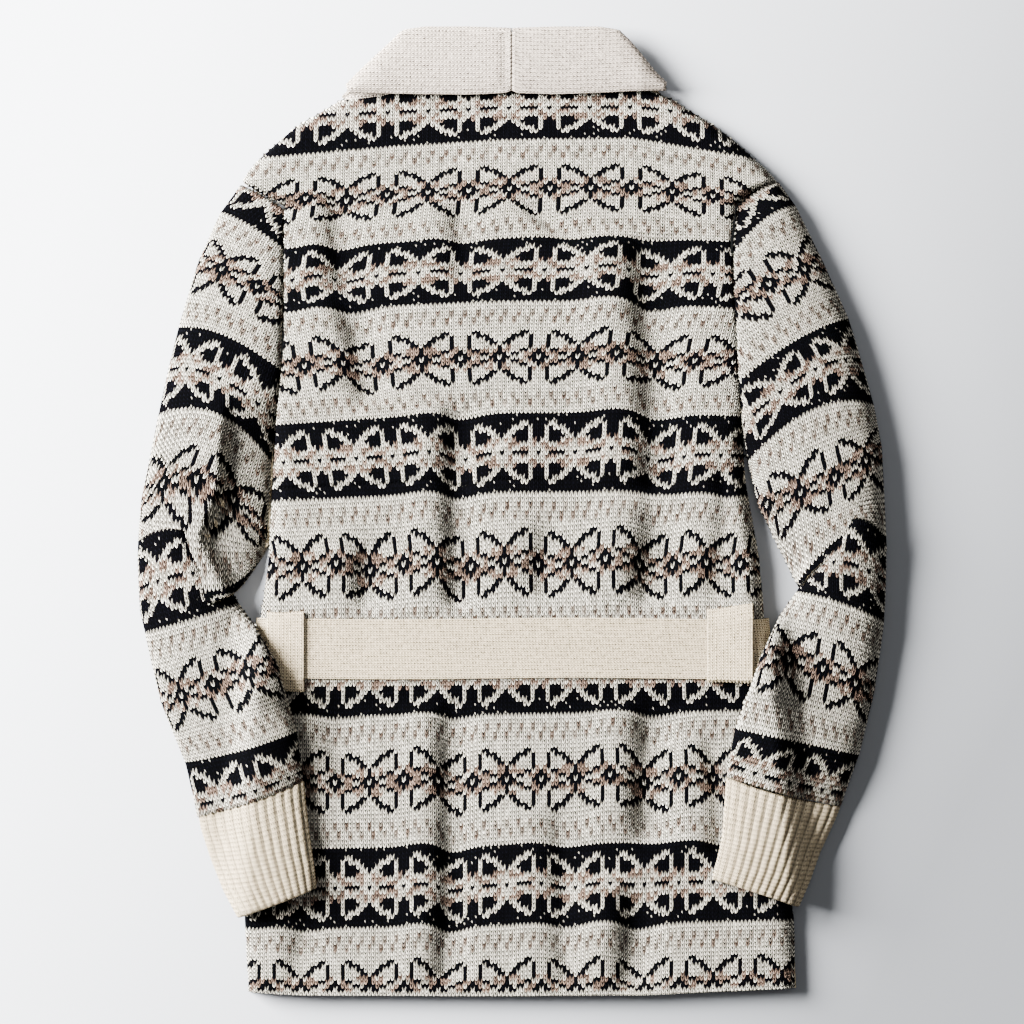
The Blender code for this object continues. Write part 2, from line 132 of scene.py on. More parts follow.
# Lines of knit rows across the upper arm: knit row, outer x y, middle x y, inner x y, height,
# share on the body, height of the open inner side
UPPER_LEFT = np.array((
    (-9.0, -247.5, 301.8, -228.6, 292.6, -208.4, 279.7, 20.0, 0.0, 12.0),
    (0.0, -267.3, 274.2, -239.7, 261.3, -210.2, 241.0, 27.0, 0.0, 13.0),
    (15.0, -287.5, 230.0, -250.7, 217.1, -210.2, 192.3, 31.0, 0.0, 13.0),
    (31.0, -305.9, 168.4, -263.6, 161.0, -213.0, 129.7, 34.0, 0.0, 13.0),
    (40.0, -315.1, 130.6, -271.9, 125.1, -216.2, 86.5, 35.0, 0.0, 8.0),
    (50.0, -324.3, 88.3, -267.3, 88.3, -219.4, 41.4, 36.0, 0.0, 0.0),
    (65.0, -339.9, 11.0, -282.9, 30.4, -222.6, -28.5, 38.0, 0.0, 0.0),
    (81.0, -343.0, -30.0, -281.0, -73.0, -229.0, -40.0, 38.0, 0.0, 0.0),
    (86.0, -343.0, -52.0, -280.0, -84.0, -236.0, -50.0, 37.0, 0.0, 0.0),
))
UPPER_RIGHT = np.array((
    (-9.0, 242.9, 304.5, 225.0, 296.2, 207.5, 282.4, 20.0, 0.0, 12.0),
    (0.0, 259.9, 280.6, 230.5, 266.8, 203.0, 236.4, 27.0, 0.0, 13.0),
    (15.0, 284.7, 230.0, 248.0, 215.3, 203.0, 195.0, 31.0, 0.0, 13.0),
    (31.0, 308.7, 176.6, 261.7, 157.3, 208.0, 118.7, 34.0, 0.0, 13.0),
    (40.0, 319.7, 139.8, 271.9, 128.8, 211.0, 80.0, 35.0, 0.0, 8.0),
    (50.0, 331.7, 97.5, 274.6, 92.9, 217.0, 46.0, 36.0, 0.0, 0.0),
    (65.0, 339.0, 58.9, 285.7, 27.6, 226.5, 6.4, 38.0, 0.0, 0.0),
    (81.0, 343.0, -24.0, 306.0, -20.0, 262.0, -66.0, 38.0, 0.0, 0.0),
    (84.0, 343.5, -36.0, 306.0, -34.0, 264.0, -70.0, 37.0, 0.0, 0.0),
))
# The same across the forearm, with the lift of its inner side over the upper arm in the last column
FORE_LEFT = np.array((
    (80.0, -342.7, -24.0, -317.0, -13.0, -290.0, -18.0, 37.0, 0.0, 5.0),
    (85.0, -343.2, -45.0, -313.0, -34.0, -285.0, -36.0, 37.0, 0.0, 6.0),
    (90.0, -342.2, -69.9, -306.8, -57.0, -271.9, -54.3, 37.0, 0.0, 6.0),
    (95.0, -341.0, -91.0, -301.5, -79.0, -259.5, -70.0, 36.0, 0.1, 5.0),
    (100.0, -336.3, -111.3, -294.4, -99.4, -251.0, -84.6, 35.0, 0.4, 2.0),
    (106.0, -331.0, -136.0, -286.0, -124.0, -234.0, -106.0, 34.0, 0.9, 0.0),
    (115.0, -321.5, -175.7, -273.7, -156.0, -214.8, -138.0, 33.0, 1.0, 0.0),
    (131.0, -299.5, -230.0, -248.4, -219.0, -197.3, -201.5, 31.0, 1.0, 0.0),
    (139.0, -291.5, -264.0, -242.0, -252.0, -193.0, -233.0, 27.0, 1.0, 0.0),
    (143.0, -288.4, -280.6, -239.7, -267.0, -191.8, -247.5, 23.0, 1.0, 0.0),
))
FORE_RIGHT = np.array((
    (80.0, 342.7, -22.0, 322.0, -4.0, 302.5, -8.0, 37.0, 0.0, 4.0),
    (85.0, 343.0, -43.0, 315.0, -26.0, 290.0, -29.0, 37.0, 0.0, 5.0),
    (90.0, 342.7, -62.6, 308.0, -46.0, 279.0, -48.0, 37.0, 0.0, 5.0),
    (95.0, 341.9, -82.0, 304.0, -66.0, 268.0, -62.0, 36.0, 0.1, 3.0),
    (100.0, 340.9, -101.2, 301.3, -84.0, 261.7, -73.6, 36.0, 0.3, 1.0),
    (106.0, 337.5, -127.0, 292.0, -107.0, 246.0, -95.0, 35.0, 0.9, 0.0),
    (115.0, 332.0, -165.6, 281.1, -140.8, 228.6, -128.8, 34.0, 1.0, 0.0),
    (131.0, 317.9, -223.6, 264.5, -211.6, 204.7, -198.7, 32.0, 1.0, 0.0),
    (139.0, 307.0, -253.0, 255.0, -242.0, 199.0, -225.0, 28.0, 1.0, 0.0),
    (143.0, 301.3, -270.5, 250.7, -258.5, 197.3, -242.9, 23.0, 1.0, 0.0),
))
# The same across the cuffs
CUFF_LEFT = np.array((
    (0.0, -287.5, -277.0, -239.0, -265.0, -190.5, -246.0, 22.0, 1.0, 0.0),
    (4.0, -285.0, -291.0, -237.0, -281.0, -189.4, -262.0, 22.0, 1.0, 0.0),
    (12.0, -275.5, -320.0, -230.0, -314.0, -184.5, -304.0, 22.0, 1.0, 0.0),
    (18.0, -265.0, -346.0, -223.0, -338.0, -181.0, -326.0, 21.0, 1.0, 0.0),
    (24.0, -250.5, -371.5, -215.0, -359.0, -179.5, -344.5, 19.5, 1.0, 0.0),
))
CUFF_RIGHT = np.array((
    (0.0, 301.0, -270.5, 249.0, -260.0, 196.5, -243.0, 22.0, 1.0, 0.0),
    (4.0, 295.5, -284.0, 245.5, -274.0, 195.5, -259.0, 22.0, 1.0, 0.0),
    (12.0, 282.5, -312.0, 237.0, -306.0, 192.5, -298.0, 22.0, 1.0, 0.0),
    (18.0, 273.0, -338.0, 230.0, -329.0, 188.0, -318.0, 21.0, 1.0, 0.0),
    (24.0, 262.0, -361.5, 222.0, -348.0, 183.5, -336.0, 19.5, 1.0, 0.0),
))
# Fold at the elbow: x and y down the crease
CREASE_LEFT = np.array(((-74.0, -256.0), (-24.0, -284.0), (20.0, -266.0), (80.0, -262.0)))
CREASE_RIGHT = np.array(((-70.0, 259.0), (-58.0, 263.0), (-46.0, 270.0), (-20.0, 262.0)))
# Width of a stitch down a sleeve: knit row, width
SLEEVE_PITCH = np.array(((-10.0, 4.1), (40.0, 3.9), (65.0, 3.8), (100.0, 3.7), (143.0, 3.6)))
RIBS_ROUND = 26
# Collar seen from above: distance from centre back, neckline row, roll row, fall edge row
COLLAR_LEFT = np.array((
    (0.2, 396.9, 443.6, 386.6), (6.0, 396.9, 444.0, 384.0), (40.0, 396.9, 445.0, 382.6),
    (80.0, 396.9, 445.0, 383.0), (100.0, 396.9, 442.0, 383.4), (108.0, 396.4, 434.0, 383.6),
    (122.0, 393.0, 421.0, 384.0), (140.0, 387.0, 404.0, 384.4), (151.0, 383.5, 393.0, 384.8),
))
COLLAR_RIGHT = np.array((
    (0.2, 396.9, 443.6, 386.6), (6.0, 396.9, 444.0, 384.0), (40.0, 396.9, 445.0, 383.0),
    (80.0, 396.9, 445.0, 384.4), (98.0, 396.9, 442.0, 385.4), (108.0, 396.4, 432.0, 386.0),
    (118.0, 394.0, 420.0, 386.4), (131.0, 390.0, 404.0, 387.0), (141.0, 387.5, 394.5, 387.4),
))
# Share of the way from the neckline to the roll, height share: the stand, then the fall
COLLAR_STAND = np.array(((0.0, 0.0), (0.35, 0.10), (0.75, 0.22)))
COLLAR_FALL = np.array(((0.75, 1.0), (0.45, 1.0), (0.2, 0.9), (0.0, 0.62)))
COLLAR_TURN = np.radians((-60.0, -25.0, 10.0, 45.0, 75.0))
COLLAR_HEIGHT = 15.0
# Inner edge of each front: row, distance from centre
FRONT_EDGE_ROWS = np.array(((-444.0, 40.0), (60.0, 40.0), (379.0, 143.0)))
# Outer edge of each band past the shoulder: row, left, right
BAND_TOP_ROWS = np.array(((379.0, -149.0, 140.0), (392.0, -141.0, 131.0), (438.0, -100.0, 100.0)))
BAND_WIDTH = 70.0
# Loops: left, right, top, bottom
LOOP_LEFT = (-224.0, -190.5, -92.0, -164.0)
LOOP_RIGHT = (178.5, 220.0, -86.5, -156.0)
# The sliver under the collar: start and end from centre back, and its depth
TAB_START, TAB_END, TAB_DEPTH = 104.0, 156.0, 9.0
# Steps round a sleeve's section
ROUND_STEPS = 360
# Knit rows of the bands
BLACK_ROWS, CREAM_ROWS = 19, 31
CREAM, BLACK, TAN, FAINT, DOTTED = 0, 1, 2, 3, 4
# Half of the motif, from the middle of the small flower to the middle of the butterfly. The first line is its
# middle row and each later line is one row further out. F is the figure's yarn, t the tan yarn.
MOTIF = (
    ".FFtt..FF.",
    "FFtttFFtFF",
    "FttFFttttF",
    ".tF...tttF",
    "..F....FF.",
    "..F...FF..",
    "..F.FFF...",
    "...FF.....",
)


def smooth(low, high, value):
    """Runs from 0 at low to 1 at high as 3 t squared less 2 t cubed."""
    share = np.clip((value - low) / (high - low), 0.0, 1.0)
    return share * share * (3.0 - 2.0 * share)


def read(table, index, at):
    """The table's column, read in straight lines between its rows."""
    return np.interp(at, table[:, 0], table[:, index])


def inset(x, y):
    """Distance inside the nearer side of the body, negative outside."""
    return np.minimum(x - read(BODY_ROWS, 1, y), read(BODY_ROWS, 2, y) - x)


def belt_bump(y):
    """Lift of the cloth over the belt's front run: flat across the belt, falling smoothly past its edges."""
    return (BELT_LIFT + 0.3) * smooth(BELT_WIDTH / 2 + 26.0, BELT_WIDTH / 2 + 5.0, np.abs(y - BELT_Y))


def back_height(share, y):
    """Height of the back's wall: the edge's height plus the rise times the share, open at the armhole."""
    opening = np.where((y > 55.0) & (y < 303.0), read(ARMHOLE_ROWS, 1, y), 0.0)
    return WALL * 1.5 + 0.3 + belt_bump(y) + read(RISE_ROWS, 1, y) * (opening + (1.0 - opening) * share)


def back_at(x, y):
    """Middle of the back's wall, with a quarter ellipse at each side."""
    depth = np.clip(inset(x, y), 0.0, SIDE_ROUND)
    return back_height(np.sqrt(1.0 - (1.0 - depth / SIDE_ROUND) ** 2), y)


def trough_depth(troughs, x, y):
    """Sum of creases. Each is a bell across its line, steeper on its left side, eased in and out along it and
    uneven in depth, with a lower ridge along its left."""
    total = np.zeros_like(x)
    for x_top, y_top, x_low, y_low, width, depth in troughs:
        along = np.clip((y_top - y) / (y_top - y_low), 0.0, 1.0)
        line = x_top + (x_low - x_top) * along + 1.6 * np.sin(along * 7.0 + x_top)
        ends = smooth(y_top, y_top - 28.0, y) * smooth(y_low, y_low + 28.0, y)
        uneven = 1.1 + 0.14 * np.sin(y * 0.09 + x_top)
        side = np.where(x < line, 0.9, 1.6) * width
        ridge = 0.55 * np.exp(-(((x - line + 2.2 * width) / (1.5 * width)) ** 2))
        total += depth * uneven * ends * (np.exp(-(((x - line) / side) ** 2)) - ridge)
    return total


def back_surface(column, row):
    """Columns keep their width by height up the garment and rows follow the bands. Points past the outline
    are drawn in to it. Height is the CAD form, less the troughs, plus slow waves. The rows sag a little in
    each trough, by a share of its depth."""
    places = np.stack([read(BACK_BANDS, index + 1, row) for index in range(len(BACK_X))])
    guess = places[2]
    x = read(BACK_PITCH, 2, guess) + (column - 9.5) * read(BACK_PITCH, 1, guess)
    y = sum(places[i] * hat(x, i) for i in range(len(BACK_X)))
    y = np.clip(y, read(HEM, 1, x), 394.0)
    low, high = read(BODY_ROWS, 1, y), read(BODY_ROWS, 2, y)
    free = (x > low) & (x < high)
    x = np.clip(x, low, high)
    inner = smooth(0.0, 30.0, inset(x, y))
    sunk = trough_depth(BACK_TROUGHS, x, y) * inner
    waves = np.sin(x * 0.043 + 1.0) * np.sin(y * 0.021) * inner
    y = y - 0.75 * sunk * smooth(392.0, 340.0, y)
    z = back_at(x, y) + WALL / 2 - sunk + 0.7 * waves
    return np.stack([x, y, z], axis=-1), free


def hat(x, index):
    """Weight of one of the five places across: 1 there, falling in straight lines to 0 at its neighbours."""
    weights = np.zeros(len(BACK_X))
    weights[index] = 1.0
    return np.interp(x, BACK_X, weights)


def motif_yarn(column, row, bands):
    """Yarn of each stitch. Bands are (first row, last row, is black), and the motif is centred in each."""
    chart = np.array([[".Ft".index(mark) for mark in line] for line in MOTIF])
    across = np.abs((column + 9) % 18 - 9)
    yarn = np.full(column.shape, CREAM)
    for first, last, middle, dark in bands:
        out = np.abs(row - middle)
        mark = np.where(out <= 7, chart[np.minimum(out, 7), across], 0)
        if dark:
            mark = np.where((out == 0) & ((across == 3) | (across == 4)), 0, mark)
        ground, figure = (BLACK, CREAM) if dark else (CREAM, BLACK)
        made = np.choose(mark, [ground, figure, TAN])
        if dark:
            made = np.where((made == BLACK) & (out >= 6) & ((column + out) % 2 == 0), DOTTED, made)
        else:
            spot = (column + 2 * (out >= 12)) % 3 == 0
            made = np.where((out >= 10) & (out <= 13) & spot, FAINT, made)
        yarn = np.where((row >= first) & (row < last), made, yarn)
    return yarn


def bands_from(first_black, count):
    """Black and cream bands by turns: first row, last row, middle row, is black."""
    bands = []
    for turn in range(count):
        start = first_black + (BLACK_ROWS + CREAM_ROWS) * turn
        end = start + BLACK_ROWS
        bands.append((start, end, start + BLACK_ROWS // 2, True))
        bands.append((end, end + CREAM_ROWS, end + CREAM_ROWS // 2, False))
    return bands


def body_yarn(column, row):
    """Yarn of the back and the fronts: the bands, then the plain edge below them."""
    return np.where(row >= PATTERN_END, CREAM, motif_yarn(column, row, bands_from(0, 5)))


def sleeve_yarn(column, row):
    """Yarn of the sleeves, whose first band starts above the armhole."""
    return motif_yarn(column, row, bands_from(-19, 4))


def surface_normals(points):
    """Cross product of the grid's two directions, made unit length."""
    across = np.gradient(points, axis=1)
    down = np.gradient(points, axis=0)
    normal = np.cross(down, across)
    length = np.linalg.norm(normal, axis=-1, keepdims=True)
    up = np.broadcast_to(np.array((0.0, 0.0, 1.0)), normal.shape)
    return np.where(length > 1e-6, normal / np.maximum(length, 1e-9), up)


def ground(x, y):
    """What the forearm lies on: the body with its belt and loops, and a smooth ramp over its side edge."""
    belt = BELT_PILE * smooth(BELT_WIDTH / 2 + 32.0, BELT_WIDTH / 2 + 11.0, np.abs(y - BELT_Y))
    top = back_height(1.0, np.maximum(y, -444.0)) + WALL / 2 + LAYER_GAP + belt
    return top * smooth(-30.0, 6.0, inset(x, y))


def fold_drop(x, y, crease, depth, side):
    """How far the upper arm's inner part lies below the forearm, past the crease."""
    low, high = crease[0, 0], crease[-1, 0]
    away = (read(crease, 1, y) - x) * side
    past = smooth(-5.0, 8.0, away)
    return depth * past * smooth(high + 30.0, high - 20.0, y) * smooth(low - 14.0, low + 6.0, y)


def no_drop(x, y):
    """Zero for every point."""
    return 0.0 * x


class Tube:
    """A flattened tube through a table of row lines. Its section is flat below and arched above. A share of 0
    to 1 runs evenly along the cloth round it, from the inner side over the top and back underneath."""

    def __init__(self, lines):
        self.lines = lines
        self.rows = np.linspace(lines[0, 0], lines[-1, 0], 64)
        turn = np.linspace(np.pi / 2, -1.5 * np.pi, 721)
        sine, across = np.cos(turn), 0.5 + 0.5 * np.sin(turn)
        self.places, self.lifts, self.round = [], [], []
        for row in self.rows:
            width = math.hypot(self.at(1, row) - self.at(5, row), self.at(2, row) - self.at(6, row))
            tall, seam = self.at(7, row), self.at(9, row) if self.open else 0.0
            low = min(8.0, tall * 0.4)
            arch = np.abs(sine) ** 0.75
            arch = np.where(across > 0.5, seam / (tall - low) + (1.0 - seam / (tall - low)) * arch, arch)
            lift = low + np.where(sine >= 0.0, (tall - low) * arch, -low * np.abs(sine) ** 0.45)
            steps = np.hypot(np.diff(across) * width, np.diff(lift))
            along = np.concatenate([[0.0], np.cumsum(steps)])
            even = np.linspace(0.0, along[-1], ROUND_STEPS + 1)
            self.places.append(np.interp(even, along, across))
            self.lifts.append(np.interp(even, along, lift))
            self.round.append(along[-1])
        self.places, self.lifts = np.array(self.places), np.array(self.lifts)

    @property
    def open(self):
        """Whether it is an upper arm, open along the armhole: its table starts above row 0."""
        return self.lines[0, 0] < 0.0

    def at(self, index, row):
        """The table's column at a knit row."""
        return read(self.lines, index, row)

    def place(self, row, share, drop):
        """A point of the cloth: across along the row line's curve, up by the section, on what it lies on."""
        line = (row - self.rows[0]) / (self.rows[-1] - self.rows[0]) * (len(self.rows) - 1)
        across, lift = look_up(self.places, line, share), look_up(self.lifts, line, share)
        outer, inner = 2 * (across - 0.5) * (across - 1), 2 * across * (across - 0.5)
        middle = 4 * across * (1 - across)
        x = outer * self.at(1, row) + middle * self.at(3, row) + inner * self.at(5, row)
        y = outer * self.at(2, row) + middle * self.at(4, row) + inner * self.at(6, row)
        z = lift + ground(x, y) * self.at(8, row) - drop(x, y) * np.clip(lift / 20.0, 0.0, 1.0)
        if not self.open:
            z = z + self.at(9, row) * smooth(0.2, 0.9, across)
        return np.stack([x, y, z], axis=-1)

    def cloth(self, pitch, first, drop):
        """Surface for knit_piece: columns counted from the outer fold, cut off at the seam."""
        outer_fold = self.places.argmin(axis=1)

        def surface(column, row):
            round_here = np.interp(row, self.rows, self.round)
            fold_here = np.interp(row, self.rows, outer_fold) / ROUND_STEPS * round_here
            along = fold_here - (column - first) * read(pitch, 1, row)
            share = along / round_here
            return self.place(row, share, drop), (share > 0.0) & (share < 1.0)

        return surface

    def ribbed(self, count):
        """Surface for knit_piece: a fixed number of columns evenly round the section."""

        def surface(column, row):
            return self.place(row, (column % count) / count, no_drop), np.ones(column.shape, bool)

        return surface


def look_up(grid, line, share):
    """Reads a table in straight lines both ways. Line counts its rows, and share runs 0 to 1 along each."""
    r = np.clip(line, 0.0, grid.shape[0] - 1.0)
    s = np.clip(share, 0.0, 1.0) * (grid.shape[1] - 1)
    r0, s0 = np.minimum(r.astype(int), grid.shape[0] - 2), np.minimum(s.astype(int), grid.shape[1] - 2)
    fr, fs = r - r0, s - s0
    upper = grid[r0, s0] * (1 - fs) + grid[r0, s0 + 1] * fs
    lower = grid[r0 + 1, s0] * (1 - fs) + grid[r0 + 1, s0 + 1] * fs
    return upper * (1 - fr) + lower * fr


def evenly(points, count=161):
    """The path with its points spaced evenly along it, and its length."""
    along = np.concatenate([[0.0], np.cumsum(np.linalg.norm(np.diff(points, axis=0), axis=1))])
    even = np.linspace(0.0, along[-1], count)
    spaced = np.stack([np.interp(even, along, points[:, i]) for i in range(points.shape[1])], axis=-1)
    return spaced, along[-1]


def rounded(points, times=2):
    """The path with its corners cut a few times, its ends kept."""
    for _ in range(times):
        near, far = points[:-1] * 0.75 + points[1:] * 0.25, points[:-1] * 0.25 + points[1:] * 0.75
        cut = np.stack([near, far], 1).reshape(-1, points.shape[1])[1:-1]
        points = np.concatenate([points[:1], cut, points[-1:]])
    return points


def collar_cloth(side, table, wide, tall):
    """Half the collar: from the fall's edge over the roll and down the stand, in columns this wide. Rows run
    out from centre back, this tall."""
    grid, lengths = [], []
    for distance, start, roll, fall in table:
        low = back_height(1.0, min(start, 395.0))
        high = low + COLLAR_HEIGHT * min(1.0, (roll - start) / 30.0 + 0.25)
        radius = (high - low) * 0.34
        bend, rise = roll - WALL / 2 - radius, high - low
        middle = (low + rise * 0.22 + high) / 2
        stand = np.stack([start + (bend - start) * COLLAR_STAND[:, 0], low + rise * COLLAR_STAND[:, 1]], -1)
        turn = np.stack([
            bend + radius * np.cos(COLLAR_TURN), middle + (high - middle) * np.sin(COLLAR_TURN)
        ], -1)
        over = np.stack([fall + (bend - fall) * COLLAR_FALL[:, 0], low + rise * COLLAR_FALL[:, 1] + 2.0], -1)
        path, length = evenly(rounded(np.concatenate([stand, turn, over])[::-1]))
        grid.append(path)
        lengths.append(length)
    grid, lengths = np.array(grid), np.array(lengths)

    def surface(column, row):
        distance = np.maximum(row, 0.0) * tall + table[0, 0]
        line = np.interp(distance, table[:, 0], np.arange(len(table)))
        along = column * wide
        share = along / np.interp(distance, table[:, 0], lengths)
        valley = 1.6 * np.exp(-(((distance - 6.5) / 4.0) ** 2)) * (side < 0) * smooth(0.0, 14.0, along)
        y = look_up(grid[..., 0], line, share)
        z = look_up(grid[..., 1], line, share) - valley * (share < 0.5)
        x = side * (np.clip(distance, table[0, 0], table[-1, 0]) - 0.05)
        inside = (share >= 0.0) & (share <= 1.0) & (distance < table[-1, 0] + tall)
        return np.stack([x, y, z], axis=-1), inside

    return surface


def belt_cloth(wide, tall):
    """The belt's strip round the body: under the fronts, up the left side, over the back and down."""
    offset = WALL / 2 + LAYER_GAP + BELT_WALL / 2
    grid, lengths = [], []
    levels = BELT_Y + BELT_WIDTH * np.linspace(0.5, -0.5, 9)
    for y in levels:
        left, right, low = read(BODY_ROWS, 1, y), read(BODY_ROWS, 2, y), BELT_WALL / 2
        edge, rise = back_height(0.0, y), read(RISE_ROWS, 1, y)
        turn = np.radians(np.linspace(0.0, 84.0, 9))

        def run(at, side):
            low_run = np.array(((-side * 4.0, low), (side * 1.4, low + 0.9), (side * 3.4, low + 3.2)))
            x = at - side * SIDE_ROUND * (1.0 - np.cos(turn)) + side * offset * np.cos(turn)
            z = edge + rise * np.sin(turn) + offset * np.sin(turn)
            return np.concatenate([low_run + np.array((at, 0.0)), np.stack([x, z], -1)])

        inner = np.linspace(left + SIDE_ROUND, right - SIDE_ROUND, 30)
        over = np.stack([inner, np.full(30, back_height(1.0, y) + offset)], -1)
        path = np.concatenate([
            np.array(((58.0, low), (left + 14.0, low))), run(left, -1.0), over, run(right, 1.0)[::-1],
            np.array(((right - 14.0, low), (62.0, low))),
        ])
        path, length = evenly(path, 1001)
        grid.append(path)
        lengths.append(length)
    grid, length = np.array(grid), float(np.mean(lengths))

    def surface(column, row):
        across = column * wide / BELT_WIDTH
        line = across * (len(levels) - 1)
        share = row * tall / length
        x, z = look_up(grid[..., 0], line, share), look_up(grid[..., 1], line, share)
        top = smooth(12.0, 18.0, z)
        y = BELT_Y + BELT_WIDTH * (0.5 - np.clip(across, 0.0, 1.0)) + 0.72 * np.sin(x * 0.019 + 0.5) * top
        inside = (across >= 0.0) & (across <= 1.0) & (share >= 0.0) & (share <= 1.0)
        return np.stack([x, y, z], axis=-1), inside

    return surface, length


def loop_cloth(table, wide, tall, bow):
    """A loop: on the back above and below the belt, and over it between. Its ends bow by a little."""
    left, right, top, bottom = table

    def surface(column, row):
        x = np.clip(left + column * wide, left, right)
        share = (x - left) / (right - left)
        down = np.clip(row * tall / (top - bottom), 0.0, 1.0)
        y = top + (bottom - top) * down
        over = smooth(BELT_WIDTH / 2 + 7.0, BELT_WIDTH / 2 + 0.5, np.abs(y - BELT_Y))
        lift = WALL / 2 + LAYER_GAP + BELT_WALL / 2 + (BELT_LIFT + 0.2) * over
        slope = back_at(x + 0.5, y) - back_at(x - 0.5, y)
        z = back_at(x, y) + lift * np.hypot(1.0, slope)
        y = y + bow * (share - 0.5) * (1.0 - down) + 1.0 * np.sin(share * 5.0) * (down - 0.5)
        inside = (column * wide < right - left + wide) & (row * tall < top - bottom + tall)
        return np.stack([x, y, z], axis=-1), inside

    return surface


def front_cloth(side):
    """A front, seen from below: rows level with those of the back, columns counted from centre front."""

    def surface(column, row):
        x = side * (40.0 + column * 3.5)
        y = np.clip(read(BACK_BANDS, 3, row), read(HEM, 1, x) - 0.8, 378.7)
        edge = side * read(FRONT_EDGE_ROWS, 1, y)
        outer = np.where(side < 0, read(BODY_ROWS, 1, y), read(BODY_ROWS, 2, y))
        low, high = np.minimum(edge, outer) + 0.2, np.maximum(edge, outer) - 0.2
        return np.stack([np.clip(x, low, high), y, belt_bump(y) + 0.45], axis=-1), (x > low) & (x < high)

    return surface


def band_outer(side, y):
    """Outer edge of a front band: along the front, then along the neck."""
    past = np.where(side < 0, read(BAND_TOP_ROWS, 1, y), read(BAND_TOP_ROWS, 2, y))
    return np.where(y > 379.0, past, side * (read(FRONT_EDGE_ROWS, 1, y) - 0.3))


def band_cloth(side, wide, tall):
    """A front band with its columns up its length. The right one laps over the left."""

    def surface(column, row):
        y = np.clip(-444.0 + row * tall, -443.8, 437.8)
        outer = band_outer(side, y)
        inner = outer - side * BAND_WIDTH
        x = outer - side * np.clip(column * wide, 0.0, BAND_WIDTH)
        lap = 0.0 if side < 0 else 4.4 * smooth(30.0, 8.0, x - (band_outer(-1, y) + BAND_WIDTH))
        inside = (column * wide < BAND_WIDTH + wide) & (y < 437.9 + tall)
        return np.stack([x, y, belt_bump(y) + lap + 0.45], axis=-1), inside

    return surface


def tab_cloth(wide, tall):
    """The sliver of under-collar that shows on the left shoulder, below the fall's edge."""

    def surface(column, row):
        distance = np.clip(TAB_START + row * tall, TAB_START, TAB_END)
        low = np.interp(distance, (104.0, 116.0, 135.0, 148.0, 156.0), (386.5, 382.0, 379.2, 378.6, 380.0))
        high = np.interp(distance, (104.0, 135.0, 150.0, 156.0), (391.0, 390.0, 389.0, 382.0))
        share = np.clip(column * wide / TAB_DEPTH, 0.0, 1.0)
        y = low + (high - low) * share
        z = back_at(-distance, np.minimum(y, 385.0)) + WALL / 2 + 0.9 * np.sin(np.pi * share) + 0.3
        inside = (column * wide < TAB_DEPTH + wide) & (TAB_START + row * tall < TAB_END + tall)
        return np.stack([-distance, y, z], axis=-1), inside

    return surface


def open_edges(quads):
    """The edges that only one face uses, in that face's direction."""
    ends = np.concatenate([quads[:, [0, 1]], quads[:, [1, 2]], quads[:, [2, 3]], quads[:, [3, 0]]])
    key = np.sort(ends, axis=1)
    _, where, count = np.unique(key, axis=0, return_inverse=True, return_counts=True)
    return ends[count[where.reshape(-1)] == 1]


def grid_quads(free, flip):
    """The faces of a grid that have a free corner, and which of the grid's faces they are."""
    index = np.arange(free.size).reshape(free.shape)
    quads = np.stack([index[1:, :-1], index[1:, 1:], index[:-1, 1:], index[:-1, :-1]], axis=-1)
    kept = free[1:, :-1] | free[1:, 1:] | free[:-1, 1:] | free[:-1, :-1]
    return (quads[..., ::-1] if flip else quads)[kept], kept


def put_mesh(name, points, quads, places, paint, speck, look):
    """Puts numpy arrays into a mesh object at the origin, in metres, without the points that no face uses.
    Places are the points' stitches, and paint is a colour for each face."""
    used, quads = np.unique(quads, return_inverse=True)
    quads = quads.reshape(-1, 4)
    points, uv = points[used], places[used][quads.ravel()]
    mesh = bpy.data.meshes.new(name)
    mesh.vertices.add(len(points))
    mesh.vertices.foreach_set("co", (points * MM).astype(np.float32).ravel())
    mesh.loops.add(quads.size)
    mesh.loops.foreach_set("vertex_index", quads.astype(np.int32).ravel())
    mesh.polygons.add(len(quads))
    mesh.polygons.foreach_set("loop_start", np.arange(0, quads.size, 4, dtype=np.int32))
    mesh.polygons.foreach_set("use_smooth", np.ones(len(quads), bool))
    layer = mesh.uv_layers.new(name="stitches")
    layer.data.foreach_set("uv", uv.astype(np.float32).ravel())
    mesh.update()
    colour = mesh.attributes.new("yarn", "FLOAT_COLOR", "FACE")
    colour.data.foreach_set("color", paint.astype(np.float32).ravel())
    dots = mesh.attributes.new("speck", "FLOAT", "FACE")
    dots.data.foreach_set("value", speck.astype(np.float32).ravel())
    mesh.validate()
    mesh.materials.append(look)
    made = bpy.data.objects.new(name, mesh)
    bpy.context.scene.collection.objects.link(made)
    return made


